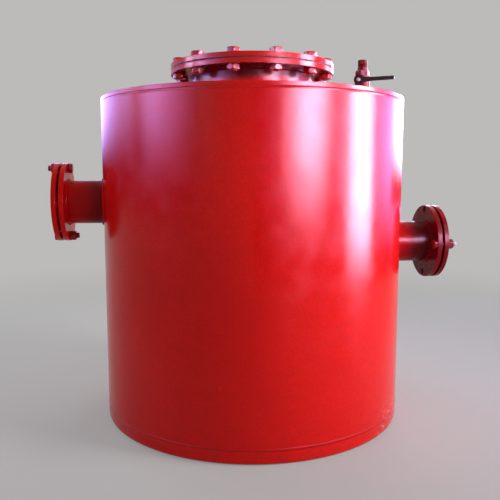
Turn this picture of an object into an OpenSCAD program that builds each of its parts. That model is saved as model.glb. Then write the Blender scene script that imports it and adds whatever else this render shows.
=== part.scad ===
// Water-seal flame arrestor: a flat-topped steel tank that holds water, with a dipped gas inlet,
// a dry gas outlet, a bolted relief mouth closed by a burst membrane, and a ball valve for filling.
// Origin: centre of the tank's underside. +Z up, +X towards the inlet, -X towards the outlet.

/* [Tank] */
// Outside diameter of the tank
tank_d = 800; // [760:10:1000]
// Height of the tank, floor to top plate
tank_h = 840; // [800:10:1000]
// Thickness of the rolled shell
shell_t = 6; // [4:1:10]
// Thickness of the flat top plate
top_plate_t = 12; // [8:1:20]
// Thickness of the bottom head
head_t = 6; // [4:1:8]
// Height of the bottom head's upturned rim
head_rim_h = 36; // [28:1:50]
// Outside radius of the bottom head's bend
head_bend_r = 10; // [9:1:20]
// Width of the girth welds
weld_w = 6; // [4:1:12]
// Height of the girth welds above the shell
weld_h = 0.5; // [0.3:0.1:2]

/* [Relief mouth] */
// Outside diameter of the neck
neck_d = 325; // [280:1:330]
// Wall of the neck
neck_t = 8; // [5:1:12]
// Height of the neck from the top plate to its flange
neck_h = 68; // [50:1:120]
// How far the flange and clamp ring stand out from the neck
relief_rim = 55; // [53:1:70]
// Thickness of the flange and of the clamp ring
relief_t = 12; // [8:1:20]
// Opening of the clamp ring
relief_mouth_d = 300; // [220:1:330]
// Thickness of the burst membrane
membrane_t = 3; // [1:0.5:5]
// How far the membrane stays back from the flange edge
membrane_inset = 1.5; // [0:0.5:5]
// Distance of the relief bolts from the neck
relief_bolt_out = 35; // [30:1:36]
// Number of bolts round the relief mouth
relief_bolt_count = 12; // [6:1:16]
// Turn of the bolt circle from the +X direction
relief_turn = 9.6; // [0:0.1:30]
// Thread size of the relief bolts
relief_bolt_d = 20; // [12:1:20]

/* [Side nozzles] */
// Height of the outlet axis above the floor
outlet_z = 574; // [520:1:640]
// Height of the inlet axis above the floor
inlet_z = 457; // [440:1:520]
// Gap between the tank and the outlet flange
outlet_stand = 90; // [60:1:150]
// Gap between the tank and the inlet flange
inlet_stand = 100; // [60:1:150]
// Outside diameter of the nozzle pipes
pipe_d = 114; // [90:1:120]
// Wall of the nozzle pipes
pipe_t = 4.5; // [3:0.5:8]
// How far the outlet pipe reaches into the tank
outlet_reach = 20; // [12:1:60]
// How far the pipe end stays back from the flange face
pipe_setback = 6; // [3:1:9]
// How far the side flanges stand out beyond their bolts
flange_edge = 13; // [12:0.5:25]
// Thickness of the side flanges with their raised face
flange_t = 14; // [10:1:22]
// Gap between the raised face and the bolt holes
face_gap = 4; // [2:0.5:6]
// Height of the raised face
face_h = 2; // [1:0.5:3]
// Thickness of the gaskets
gasket_t = 3; // [1.5:0.5:5]
// How far the gasket stays back from the raised face's edges
gasket_inset = 2; // [0:0.5:4]
// Distance of the side bolts from the pipe
flange_bolt_out = 32.5; // [28:0.5:38]
// Number of holes in each side flange
flange_hole_count = 4; // [4:2:8]
// Thread size of the side bolts
flange_bolt_d = 16; // [10:1:16]
// Leg of the fillet weld behind each flange
fillet_leg = 5; // [3:1:7]

/* [Dip tube and baffle] */
// Bend radius of the dip elbow
elbow_r = 152; // [130:1:200]
// Height of the dip tube's lower end above the floor
dip_end_z = 90; // [70:1:150]
// Depth of the notches in the dip tube's end
notch_h = 30; // [10:1:45]
// Number of notch pairs across the dip tube
notch_pairs = 4; // [2:1:6]
// Height of the stays above the notches
stay_lift = 20; // [5:1:60]
// Width of the flat bar of the stays
stay_w = 40; // [20:1:60]
// Thickness of the flat bar of the stays
stay_t = 6; // [4:1:10]
// Width of the splash baffle
baffle_w = 190; // [140:1:240]
// Height of the splash baffle
baffle_h = 240; // [160:1:300]
// Thickness of the splash baffle
baffle_t = 5; // [3:1:8]
// Gap between the outlet pipe's end and the splash baffle
baffle_gap = 60; // [40:1:120]

/* [Fill valve] */
// Distance of the valve from the tank's edge
valve_inset = 93; // [70:1:110]
// Direction in which the valve stem points
valve_turn = -120.6; // [-180:0.1:180]
// Height of the stem axis above the top plate
stem_z = 62; // [45:1:90]
// Outside diameter of the riser and spout pipes
riser_d = 26.9; // [24:0.1:27]
// Wall of the riser and spout pipes
riser_t = 2.8; // [2:0.1:4]
// Length of the spout above the valve
spout_h = 28; // [24:1:60]
// Diameter of the spout's threaded end
spout_thread_d = 26.4; // [23:0.1:26.5]
// Length of the spout's threaded end
spout_thread_l = 20; // [12:1:22]
// Ball diameter
ball_d = 32; // [30:1:34]
// Bore through the ball
port_d = 20; // [14:1:20]
// Diameter of the valve's barrel
barrel_d = 41; // [41:1:48]
// Width across flats of the valve's hex ends
end_af = 34; // [34:1:38]
// Length from the ball's centre to each end of the valve
valve_half = 29; // [28:1:36]
// Depth of the pipe sockets in the valve's ends
socket_depth = 12; // [8:1:12]
// Diameter of the stem
stem_d = 8; // [7:1:9]
// Distance from the ball's centre to the boss face
boss_reach = 29; // [28:1:34]
// Diameter of the stem boss
boss_d = 28; // [28:1:32]

/* [Lever] */
// Length from the stem to the lever's tip
lever_l = 95; // [70:1:150]
// Width of the lever's grip
lever_w = 10; // [8:1:14]
// Thickness of the lever
lever_t = 4; // [3:0.5:6]
// Diameter of the lever's hub
hub_d = 27; // [27:1:36]
// Turn of the lever from shut to open
lever_travel = 90; // [45:1:90]
// Thread size of the stem's end
stem_thread_d = 6; // [5:1:6]

/* [Rear sockets] */
// Height of the drain above the bottom head's rim
drain_lift = 44; // [36:1:80]
// Height of the water level above the floor
level_z = 250; // [200:1:320]
// Outside diameter of the plug sockets
socket_d = 46; // [44:1:52]
// Bore of the plug sockets
socket_bore_d = 33; // [24:1:34]
// Length of the plug sockets beyond the shell
socket_l = 36; // [30:1:50]
// Width across flats of the plugs
plug_af = 36; // [34:1:41]

/* [Fits] */
// Gap all round where a welded pipe sits in its hole
weld_gap = 0.25; // [0.1:0.05:0.5]
// Root gap all round a nozzle pipe in the shell, under its fillet weld
root_gap = 2; // [1:0.5:3]
// Gap all round the pipe that slips into a companion flange
slip_gap = 0.5; // [0.25:0.05:0.8]
// Gap all round between a bolt and its nut's thread
thread_gap = 0.1; // [0.05:0.05:0.3]
// Running gap all round the stem
stem_gap = 0.08; // [0.05:0.01:0.1]
// Gap between the ball and its seats
seat_gap = 0.1; // [0.05:0.05:0.2]
// Clearance all round a bolt in its hole
bolt_gap = 1; // [0.5:0.5:2]

/* [Hidden] */
$fn = 96;
red = [0.72, 0.02, 0.02];
dark_red = [0.55, 0.02, 0.03];
black = [0.08, 0.07, 0.07];
steel = [0.66, 0.65, 0.64];
chrome = [0.8, 0.8, 0.82];
white = [0.93, 0.93, 0.9];
// A cut runs this far past the face it goes through
past = 1;
// Proportions of hex bolts and nuts to their thread
af_ratio = 1.5;
head_ratio = 0.625;
nut_ratio = 0.85;
tail_ratio = 0.5;
// The relief bolts end just past low nuts
low_nut_ratio = 0.65;
low_tail_ratio = 0.1;
// Top circle of a hex chamfer, as a share of the width across flats
chamfer_share = 0.95;
chamfer_slope = 30;
// Turn of each bolt head from the one before
spanner_turn = 17;

tank_r = tank_d / 2;
shell_in_r = tank_r - shell_t;
plate_z = tank_h - top_plate_t;

relief_d = neck_d + 2 * relief_rim;
relief_pcd = neck_d + 2 * relief_bolt_out;
flange_z = tank_h + neck_h;
membrane_z = flange_z + relief_t;
clamp_z = membrane_z + membrane_t;
clamp_top_z = clamp_z + relief_t;
relief_hole_d = relief_bolt_d + 2 * bolt_gap;
relief_nut_h = low_nut_ratio * relief_bolt_d;
relief_shank_l = 2 * relief_t + membrane_t + relief_nut_h + low_tail_ratio * relief_bolt_d;

pack_t = 2 * flange_t + gasket_t;
flange_pcd = pipe_d + 2 * flange_bolt_out;
flange_d = flange_pcd + 2 * flange_edge;
flange_hole_d = flange_bolt_d + 2 * bolt_gap;
flange_nut_h = nut_ratio * flange_bolt_d;
flange_shank_l = pack_t + flange_nut_h + tail_ratio * flange_bolt_d;
face_d = flange_pcd - flange_hole_d - 2 * face_gap;
flange_bore_d = pipe_d + 2 * weld_gap;
// The companion flange takes a pipe from outside
companion_bore_d = pipe_d + 2 * slip_gap;
outlet_flange_x = tank_r + outlet_stand;
inlet_flange_x = tank_r + inlet_stand;
outlet_end_x = shell_in_r - outlet_reach;

// How far the shell falls away beside a nozzle's fillet weld
saddle = tank_r - sqrt(tank_r * tank_r - pow(pipe_d / 2 + 2 * fillet_leg, 2));

elbow_z = inlet_z - elbow_r;
stay_z = dip_end_z + notch_h + stay_lift;
baffle_x = outlet_end_x - baffle_gap;
drain_z = head_rim_h + drain_lift;

valve_offset = tank_r - valve_inset;
ball_r = ball_d / 2;
ball_room = 1;
cavity_r = ball_r + ball_room;
seat_edge = 0.5;
seat_t = 6;
seat_in_r = port_d / 2 + seat_edge;
seat_out_r = ball_r - seat_edge;
seat_lap = 7;
seat_near = ball_r - seat_lap;
seat_far = seat_near + seat_t;
spigot_r = cavity_r + ball_room;
barrel_low = seat_far + 1;
barrel_high = seat_far;
stop_gap = 0.4;
collar_t = 2;
collar_step = 2;
collar_d = stem_d + 2 * collar_step;
collar_from = cavity_r - stop_gap;
packing_w = 2;
gland_r = stem_d / 2 + packing_w;
gland_from = collar_from + 2 * collar_t + stop_gap;
gland_spigot_l = 2;
packing_l = boss_reach - gland_from - gland_spigot_l;
gland_rim = 1;
gland_af = 2 * (gland_r + gland_rim);
gland_h = 6;
hub_lift = 2;
hub_from = boss_reach + gland_h + hub_lift;
nut_from = hub_from + lever_t;
tang_t = 5;
tang_depth = 4;
flats_w = stem_thread_d;
lever_nut_h = stem_thread_d * nut_ratio;
stem_tail = 2;
stem_end = nut_from + lever_nut_h + stem_tail;
stop_pin_d = 2.5;
stop_pin_gap = 0.6;
stop_r = gland_af / 2 / cos(30) + stop_pin_d / 2 + stop_pin_gap;
// Direction of the stop pin round the stem, from the shut lever
stop_angle = 225;
lever_root_w = 17;
lever_taper_l = 38;
lever_tip_r = 0.6 * lever_w;
plug_hex_h = 14;
plug_thread_l = 22;

// Round tube standing on z = 0
module tube(d, bore, h) {
    difference() {
        cylinder(d = d, h = h);
        translate([0, 0, -past]) cylinder(d = bore, h = h + 2 * past);
    }
}

// Hexagon of the given width across flats, with both rims chamfered
module hex_block(af, h) {
    top_r = chamfer_share * af / 2;
    foot_r = top_r + h / tan(chamfer_slope);
    intersection() {
        cylinder(d = af / cos(30), h = h, $fn = 6);
        cylinder(r1 = foot_r, r2 = top_r, h = h);
        cylinder(r1 = top_r, r2 = foot_r, h = h);
    }
}

// Hex bolt: the head stands on z = 0 and the shank hangs below
module hex_bolt(d, shank_l) {
    hex_block(af_ratio * d, head_ratio * d);
    translate([0, 0, -shank_l]) cylinder(d = d, h = shank_l);
}

// Hex nut standing on z = 0
module hex_nut(d, h) {
    difference() {
        hex_block(af_ratio * d, h);
        translate([0, 0, -past]) cylinder(r = d / 2 + thread_gap, h = h + 2 * past);
    }
}

// Places its children round a circle
module round_circle(pcd, count, turn) {
    for (i = [0 : count - 1])
        rotate([0, 0, turn + i * 360 / count]) translate([pcd / 2, 0, 0])
            rotate([0, 0, i * spanner_turn]) children();
}

// Half section of a flat plate with an upturned, rounded rim
module pan_section(r, h, bend) {
    square([r - bend, h]);
    translate([0, bend]) square([r, h - bend]);
    translate([r - bend, bend]) circle(r = bend);
}

// Low round bead on the outside of the tank at height z
module girth_weld(z) {
    bead_r = (weld_w * weld_w / 4 + weld_h * weld_h) / (2 * weld_h);
    rotate_extrude() intersection() {
        translate([tank_r + weld_h - bead_r, z]) circle(r = bead_r);
        translate([tank_r, z - weld_w]) square([weld_w, 2 * weld_w]);
    }
}

// Turns a part that stands along +Z so that it points along +X or -X at height z
module sideways(side, z) {
    translate([0, 0, z]) rotate([0, side * 90, 0]) children();
}

// Side flange standing on its back face, with its raised face on top
module side_flange(bore) {
    difference() {
        union() {
            cylinder(d = flange_d, h = flange_t - face_h);
            cylinder(d = face_d, h = flange_t);
        }
        translate([0, 0, -past]) cylinder(d = bore, h = flange_t + 2 * past);
        round_circle(flange_pcd, flange_hole_count, 0)
            translate([0, 0, -past]) cylinder(d = flange_hole_d, h = flange_t + 2 * past);
    }
}

// Gasket between two raised faces
module side_gasket() {
    tube(face_d - 2 * gasket_inset, companion_bore_d + 2 * gasket_inset, gasket_t);
}

// Fillet weld where a nozzle leaves the tank, cut to the round of the shell
module shell_fillet() {
    leg = fillet_leg + saddle;
    difference() {
        translate([0, 0, tank_r - saddle])
            cylinder(d1 = pipe_d + 2 * leg, d2 = pipe_d, h = leg);
        rotate([0, 90, 0]) cylinder(r = tank_r + weld_gap, h = tank_d, center = true);
    }
}

// Nozzle pipe from one distance to another, with the fillet welds at the tank and behind its flange
module nozzle_pipe(from, back_face) {
    top = back_face + flange_t - pipe_setback;
    difference() {
        union() {
            translate([0, 0, from]) cylinder(d = pipe_d, h = top - from);
            shell_fillet();
            translate([0, 0, back_face - fillet_leg])
                cylinder(d1 = pipe_d, d2 = pipe_d + 2 * fillet_leg, h = fillet_leg);
        }
        translate([0, 0, from - past]) cylinder(d = pipe_d - 2 * pipe_t, h = top - from + 2 * past);
    }
}

// Bolted position i of a side flange: 0 and 1 are top and bottom (turn 0) or near and far (turn 90)
module bolted_at(turn, i) {
    rotate([0, 0, turn + i * 180]) translate([flange_pcd / 2, 0, 0])
        rotate([0, 0, (1 + i) * spanner_turn]) children();
}

// Bolt through a pair of side flanges that stands on z = 0, with its head on the far face
module side_bolt() {
    translate([0, 0, pack_t]) hex_bolt(flange_bolt_d, flange_shank_l);
}

// Nut of that bolt, under the near face
module side_nut() {
    translate([0, 0, -flange_nut_h]) hex_nut(flange_bolt_d, flange_nut_h);
}

// Puts a side bolt or its nut in from the other face
module other_way() {
    translate([0, 0, pack_t]) mirror([0, 0, 1]) children();
}

// Places its children in the valve's own frame: Z along the flow, X along the stem, Y along the lever
module at_valve() {
    translate([valve_offset, 0, tank_h + stem_z]) rotate([0, 0, valve_turn]) children();
}

// Turns a part that stands along +Z so that it points along the stem
module along_stem(from) {
    translate([from, 0, 0]) rotate([0, 90, 0]) children();
}

// Bored socket with a round mouth, standing off the rear of the shell at height z
module plug_socket(z) {
    difference() {
        translate([0, 0, z]) rotate([-90, 0, 0]) cylinder(d = socket_d, h = tank_r + socket_l);
        translate([0, 0, z]) rotate([-90, 0, 0]) cylinder(d = socket_bore_d, h = tank_r + socket_l + past);
        translate([0, 0, z - socket_d]) cylinder(r = tank_r + weld_gap, h = 2 * socket_d);
    }
}

// Hex plug screwed into a socket at height z
module socket_plug(z) {
    translate([0, tank_r + socket_l, z]) rotate([-90, 0, 0]) {
        hex_block(plug_af, plug_hex_h);
        translate([0, 0, -plug_thread_l])
            cylinder(r = socket_bore_d / 2 - thread_gap, h = plug_thread_l);
    }
}

module tank_shell() {
    shell_h = plate_z - head_rim_h;
    color(red) {
        difference() {
            union() {
                translate([0, 0, head_rim_h]) cylinder(r = tank_r, h = shell_h);
                girth_weld(head_rim_h);
                girth_weld(plate_z);
            }
            translate([0, 0, head_rim_h - weld_w]) cylinder(r = shell_in_r, h = shell_h + 2 * weld_w);
            sideways(1, inlet_z) cylinder(d = pipe_d + 2 * root_gap, h = tank_d);
            sideways(-1, outlet_z) cylinder(d = pipe_d + 2 * root_gap, h = tank_d);
            for (z = [drain_z, level_z])
                translate([0, 0, z]) rotate([-90, 0, 0]) cylinder(d = socket_bore_d, h = tank_d);
        }
    }
}

module bottom_head() {
    color(red) rotate_extrude() difference() {
        pan_section(tank_r, head_rim_h, head_bend_r);
        translate([0, head_t]) pan_section(tank_r - head_t, head_rim_h, head_bend_r - head_t);
    }
}

module top_plate() {
    color(red) translate([0, 0, plate_z]) difference() {
        cylinder(r = tank_r, h = top_plate_t);
        translate([0, 0, -past]) cylinder(d = neck_d + 2 * weld_gap, h = top_plate_t + 2 * past);
        translate([valve_offset, 0, -past])
            cylinder(d = riser_d + 2 * weld_gap, h = top_plate_t + 2 * past);
    }
}

module relief_neck() {
    neck_top = membrane_z - pipe_setback;
    color(dark_red) difference() {
        union() {
            translate([0, 0, plate_z]) cylinder(d = neck_d, h = neck_top - plate_z);
            translate([0, 0, tank_h]) cylinder(d1 = neck_d + 2 * fillet_leg, d2 = neck_d, h = fillet_leg);
            translate([0, 0, flange_z - fillet_leg])
                cylinder(d1 = neck_d, d2 = neck_d + 2 * fillet_leg, h = fillet_leg);
        }
        translate([0, 0, plate_z - past]) cylinder(d = neck_d - 2 * neck_t, h = neck_top);
    }
}

// Drilled ring of the relief mouth, standing on z = 0
module relief_ring(d, bore, h) {
    difference() {
        tube(d, bore, h);
        round_circle(relief_pcd, relief_bolt_count, relief_turn)
            translate([0, 0, -past]) cylinder(d = relief_hole_d, h = h + 2 * past);
    }
}

module relief_flange() {
    color(dark_red) translate([0, 0, flange_z]) relief_ring(relief_d, neck_d + 2 * weld_gap, relief_t);
}

module burst_membrane() {
    color(black) translate([0, 0, membrane_z]) difference() {
        cylinder(d = relief_d - 2 * membrane_inset, h = membrane_t);
        round_circle(relief_pcd, relief_bolt_count, relief_turn)
            translate([0, 0, -past]) cylinder(d = relief_hole_d, h = membrane_t + 2 * past);
    }
}

module clamp_ring() {
    color(dark_red) translate([0, 0, clamp_z]) relief_ring(relief_d, relief_mouth_d, relief_t);
}

module relief_bolts() {
    color(dark_red) translate([0, 0, clamp_top_z])
        round_circle(relief_pcd, relief_bolt_count, relief_turn)
            hex_bolt(relief_bolt_d, relief_shank_l);
}

module relief_nuts() {
    color(dark_red) translate([0, 0, flange_z - relief_nut_h])
        round_circle(relief_pcd, relief_bolt_count, relief_turn) hex_nut(relief_bolt_d, relief_nut_h);
}

module outlet_nozzle() {
    color(dark_red) sideways(-1, outlet_z) nozzle_pipe(outlet_end_x, outlet_flange_x);
}

module outlet_flange() {
    color(dark_red) sideways(-1, outlet_z) translate([0, 0, outlet_flange_x]) side_flange(flange_bore_d);
}

module outlet_gasket() {
    color(black) sideways(-1, outlet_z) translate([0, 0, outlet_flange_x + flange_t]) side_gasket();
}

module outlet_companion() {
    color(dark_red) sideways(-1, outlet_z) translate([0, 0, outlet_flange_x + pack_t])
        mirror([0, 0, 1]) side_flange(companion_bore_d);
}

// The upper bolt is put in from the tank's side and the lower one from outside
module outlet_bolts() {
    color(dark_red) sideways(-1, outlet_z) translate([0, 0, outlet_flange_x]) {
        bolted_at(0, 0) other_way() side_bolt();
        bolted_at(0, 1) side_bolt();
    }
}

module outlet_nuts() {
    color(dark_red) sideways(-1, outlet_z) translate([0, 0, outlet_flange_x]) {
        bolted_at(0, 0) other_way() side_nut();
        bolted_at(0, 1) side_nut();
    }
}

// Folded channel that stands in front of the outlet, open above and below
module splash_baffle() {
    inner_w = baffle_w - 2 * baffle_t;
    color(red) translate([0, 0, outlet_z - baffle_h / 2]) linear_extrude(baffle_h) intersection() {
        circle(r = shell_in_r - weld_gap);
        difference() {
            translate([-tank_r, -baffle_w / 2]) square([tank_r - baffle_x, baffle_w]);
            translate([-tank_r, -inner_w / 2]) square([tank_r - baffle_x - baffle_t, inner_w]);
        }
    }
}

module inlet_nozzle() {
    color(dark_red) sideways(1, inlet_z) nozzle_pipe(elbow_r, inlet_flange_x);
}

module inlet_flange() {
    color(dark_red) sideways(1, inlet_z) translate([0, 0, inlet_flange_x]) side_flange(flange_bore_d);
}

module inlet_gasket() {
    color(black) sideways(1, inlet_z) translate([0, 0, inlet_flange_x + flange_t]) side_gasket();
}

module inlet_companion() {
    color(dark_red) sideways(1, inlet_z) translate([0, 0, inlet_flange_x + pack_t])
        mirror([0, 0, 1]) side_flange(companion_bore_d);
}

module inlet_bolts() {
    color(dark_red) sideways(1, inlet_z) translate([0, 0, inlet_flange_x])
        for (i = [0, 1]) bolted_at(90, i) other_way() side_bolt();
}

module inlet_nuts() {
    color(dark_red) sideways(1, inlet_z) translate([0, 0, inlet_flange_x])
        for (i = [0, 1]) bolted_at(90, i) other_way() side_nut();
}

// Quarter bend from the inlet pipe down to the dip tube
module dip_elbow() {
    color(red) translate([elbow_r, 0, elbow_z]) rotate([90, 0, 0]) rotate([0, 0, 90])
        rotate_extrude(angle = 90) translate([elbow_r, 0]) difference() {
            circle(d = pipe_d);
            circle(d = pipe_d - 2 * pipe_t);
        }
}

// Straight pipe into the water, with a notched end that breaks the gas into bubbles
module dip_tube() {
    notch_w = notch_h / 2;
    color(red) difference() {
        translate([0, 0, dip_end_z]) tube(pipe_d, pipe_d - 2 * pipe_t, elbow_z - dip_end_z);
        for (i = [0 : notch_pairs - 1])
            rotate([0, 0, (i + 0.5) * 180 / notch_pairs]) translate([0, pipe_d, dip_end_z])
                rotate([90, 0, 0]) linear_extrude(2 * pipe_d)
                    polygon([[-notch_w, -past], [notch_w, -past], [0, notch_h]]);
    }
}

// Three flat bars from the dip tube to the shell
module dip_stays() {
    color(red) translate([0, 0, stay_z]) intersection() {
        tube(2 * (shell_in_r - weld_gap), pipe_d + 2 * weld_gap, stay_w);
        for (i = [0 : 2])
            rotate([0, 0, 90 + i * 120]) translate([0, -stay_t / 2, 0]) cube([tank_r, stay_t, stay_w]);
    }
}

module valve_riser() {
    riser_top = tank_h + stem_z - valve_half + socket_depth;
    color(dark_red) translate([valve_offset, 0, plate_z])
        tube(riser_d, riser_d - 2 * riser_t, riser_top - plate_z);
}

// Barrel with a hex end below, a stem boss at the side and the lever's stop pin on the boss
module valve_body() {
    color(dark_red) at_valve() difference() {
        union() {
            translate([0, 0, -valve_half]) hex_block(end_af, 2 * valve_half - barrel_high - past);
            translate([0, 0, -barrel_low]) cylinder(d = barrel_d, h = barrel_low + barrel_high);
            along_stem(0) cylinder(d = boss_d, h = boss_reach);
            rotate([stop_angle, 0, 0]) translate([0, stop_r, 0])
                along_stem(0) cylinder(d = stop_pin_d, h = nut_from + stop_gap);
        }
        translate([0, 0, -valve_half - past])
            cylinder(d = riser_d + 2 * weld_gap, h = socket_depth + past);
        translate([0, 0, -valve_half]) cylinder(r = seat_in_r, h = valve_half);
        translate([0, 0, -seat_far]) cylinder(r = seat_out_r + thread_gap, h = seat_far);
        translate([0, 0, -seat_near]) cylinder(r = cavity_r, h = 2 * seat_near);
        translate([0, 0, seat_near]) cylinder(r = spigot_r + thread_gap, h = valve_half);
        along_stem(0) cylinder(r = stem_d / 2 + stem_gap, h = boss_reach);
        along_stem(0) cylinder(d = collar_d + 4 * stop_gap, h = collar_from + collar_t + stop_gap);
        along_stem(gland_from) cylinder(r = gland_r, h = boss_reach);
    }
}

// Screwed end that closes the barrel over the ball
module valve_tailpiece() {
    color(dark_red) at_valve() difference() {
        union() {
            translate([0, 0, seat_near]) cylinder(r = spigot_r, h = barrel_high - seat_near);
            translate([0, 0, barrel_high]) hex_block(end_af, valve_half - barrel_high);
        }
        translate([0, 0, seat_near - past]) cylinder(r = seat_in_r, h = valve_half);
        translate([0, 0, seat_near - past])
            cylinder(r = seat_out_r + thread_gap, h = seat_far - seat_near + past);
        translate([0, 0, valve_half - socket_depth])
            cylinder(d = riser_d + 2 * weld_gap, h = socket_depth + past);
    }
}

// Open pipe above the valve, with a thread for a hose coupling at its end
module valve_spout() {
    plain_l = socket_depth + spout_h - spout_thread_l;
    bore = riser_d - 2 * riser_t;
    color(dark_red) at_valve() translate([0, 0, valve_half - socket_depth]) {
        tube(riser_d, bore, plain_l);
        translate([0, 0, plain_l]) tube(spout_thread_d, bore, spout_thread_l);
    }
}

// Two rings cupped to the ball
module valve_seats() {
    color(white) at_valve() for (side = [0, 1])
        mirror([0, 0, side]) difference() {
            translate([0, 0, seat_near])
                tube(2 * seat_out_r, 2 * seat_in_r, seat_far - seat_near);
            sphere(r = ball_r + seat_gap);
        }
}

// Bored ball, shut: its port lies along the lever
module valve_ball() {
    color(chrome) at_valve() difference() {
        rotate([0, 0, 180]) sphere(d = ball_d);
        rotate([90, 0, 0]) cylinder(d = port_d, h = 2 * ball_d, center = true);
        translate([ball_r - tang_depth, -(tang_t + stop_gap) / 2, -ball_d])
            cube([ball_d, tang_t + stop_gap, 2 * ball_d]);
    }
}

// Stem with a tang in the ball, a collar inside the body, flats for the lever and a threaded end
module valve_stem() {
    color(steel) at_valve() {
        intersection() {
            along_stem(ball_r - tang_depth + stop_gap) cylinder(d = stem_d, h = tang_depth + collar_t);
            translate([0, -tang_t / 2, -stem_d]) cube([collar_from + collar_t, tang_t, 2 * stem_d]);
        }
        along_stem(collar_from) cylinder(d = collar_d, h = collar_t);
        along_stem(collar_from) cylinder(d = stem_d, h = hub_from - collar_from);
        intersection() {
            along_stem(hub_from) cylinder(d = stem_d, h = lever_t);
            translate([hub_from, -stem_d, -flats_w / 2]) cube([lever_t, 2 * stem_d, flats_w]);
        }
        along_stem(nut_from) cylinder(d = stem_thread_d, h = stem_end - nut_from);
    }
}

module stem_packing() {
    color(white) at_valve() along_stem(gland_from)
        tube(2 * (gland_r - thread_gap), stem_d + 2 * stem_gap, packing_l);
}

module packing_nut() {
    color(dark_red) at_valve() difference() {
        union() {
            along_stem(gland_from + packing_l)
                cylinder(r = gland_r - thread_gap, h = boss_reach - gland_from - packing_l);
            along_stem(boss_reach) hex_block(gland_af, gland_h);
        }
        along_stem(0) cylinder(r = stem_d / 2 + stem_gap, h = stem_end);
    }
}

// Arm of the lever: tapers from the hub to the grip and ends in a blunt round tip
module lever_arm() {
    tip_x = lever_l - lever_tip_r;
    intersection() {
        polygon([
            [0, -lever_root_w / 2], [lever_taper_l, -lever_w / 2], [lever_l, -lever_w / 2],
            [lever_l, lever_w / 2], [lever_taper_l, lever_w / 2], [0, lever_root_w / 2]
        ]);
        union() {
            translate([0, -lever_root_w]) square([tip_x, 2 * lever_root_w]);
            translate([tip_x, 0]) circle(r = lever_tip_r);
        }
    }
}

// Curved slot that lets the lever swing between the two sides of the stop pin
module stop_slot() {
    width = stop_pin_d + 2 * stop_gap;
    spare = asin(width / 2 / stop_r);
    from = stop_angle - lever_travel - spare;
    middle = stop_angle - lever_travel / 2;
    to = stop_angle + spare;
    intersection() {
        difference() {
            circle(r = stop_r + width / 2);
            circle(r = stop_r - width / 2);
        }
        polygon([
            [0, 0], hub_d * [cos(from), sin(from)],
            2 * hub_d * [cos(middle), sin(middle)], hub_d * [cos(to), sin(to)]
        ]);
    }
}

// Outline of the lever in the plane across the stem: X along the lever, Y up
module lever_outline() {
    difference() {
        union() {
            circle(d = hub_d);
            lever_arm();
        }
        intersection() {
            circle(d = stem_d + 2 * stem_gap);
            square([2 * stem_d, flats_w + 2 * stem_gap], center = true);
        }
        stop_slot();
    }
}

module lever() {
    color(black) at_valve() translate([hub_from, 0, 0]) rotate([90, 0, 90])
        linear_extrude(lever_t) lever_outline();
}

module lever_nut() {
    color(steel) at_valve() along_stem(nut_from) hex_nut(stem_thread_d, lever_nut_h);
}

module drain_socket() {
    color(red) plug_socket(drain_z);
}

module drain_plug() {
    color(red) socket_plug(drain_z);
}

module level_socket() {
    color(red) plug_socket(level_z);
}

module level_plug() {
    color(red) socket_plug(level_z);
}

tank_shell();
bottom_head();
top_plate();
relief_neck();
relief_flange();
burst_membrane();
clamp_ring();
relief_bolts();
relief_nuts();
outlet_nozzle();
outlet_flange();
outlet_gasket();
outlet_companion();
outlet_bolts();
outlet_nuts();
splash_baffle();
inlet_nozzle();
inlet_flange();
inlet_gasket();
inlet_companion();
inlet_bolts();
inlet_nuts();
dip_elbow();
dip_tube();
dip_stays();
valve_riser();
valve_body();
valve_tailpiece();
valve_spout();
valve_seats();
valve_ball();
valve_stem();
stem_packing();
packing_nut();
lever();
lever_nut();
drain_socket();
drain_plug();
level_socket();
level_plug();
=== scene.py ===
"""Looks of the water-seal flame arrestor: enamel, weld beads, fasteners and a plain studio."""
import math
import random

import bmesh
import bpy
from mathutils import Euler, Matrix, Vector


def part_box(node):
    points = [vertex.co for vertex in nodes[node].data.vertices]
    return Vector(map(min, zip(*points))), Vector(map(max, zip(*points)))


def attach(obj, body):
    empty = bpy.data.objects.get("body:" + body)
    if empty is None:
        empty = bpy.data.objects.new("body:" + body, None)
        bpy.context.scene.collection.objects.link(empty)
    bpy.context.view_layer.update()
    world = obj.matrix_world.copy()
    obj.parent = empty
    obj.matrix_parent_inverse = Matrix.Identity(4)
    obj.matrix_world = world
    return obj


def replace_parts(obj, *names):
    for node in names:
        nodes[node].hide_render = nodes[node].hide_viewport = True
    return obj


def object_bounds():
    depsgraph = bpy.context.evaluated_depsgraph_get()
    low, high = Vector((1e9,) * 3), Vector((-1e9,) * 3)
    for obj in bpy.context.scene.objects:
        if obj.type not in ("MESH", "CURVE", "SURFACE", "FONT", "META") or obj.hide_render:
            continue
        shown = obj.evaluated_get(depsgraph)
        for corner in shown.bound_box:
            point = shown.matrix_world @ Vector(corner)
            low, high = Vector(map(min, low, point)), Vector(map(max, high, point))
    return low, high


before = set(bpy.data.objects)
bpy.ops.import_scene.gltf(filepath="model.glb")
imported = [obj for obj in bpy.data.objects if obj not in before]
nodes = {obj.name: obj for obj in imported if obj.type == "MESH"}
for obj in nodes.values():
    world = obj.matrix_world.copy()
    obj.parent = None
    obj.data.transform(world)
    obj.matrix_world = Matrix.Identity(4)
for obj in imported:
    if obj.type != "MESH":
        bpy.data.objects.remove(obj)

cad_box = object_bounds()
MM = 0.001
NEAR = 1e-5
X, Y, Z = Vector((1, 0, 0)), Vector((0, 1, 0)), Vector((0, 0, 1))


# Sizes read from the frame

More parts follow.
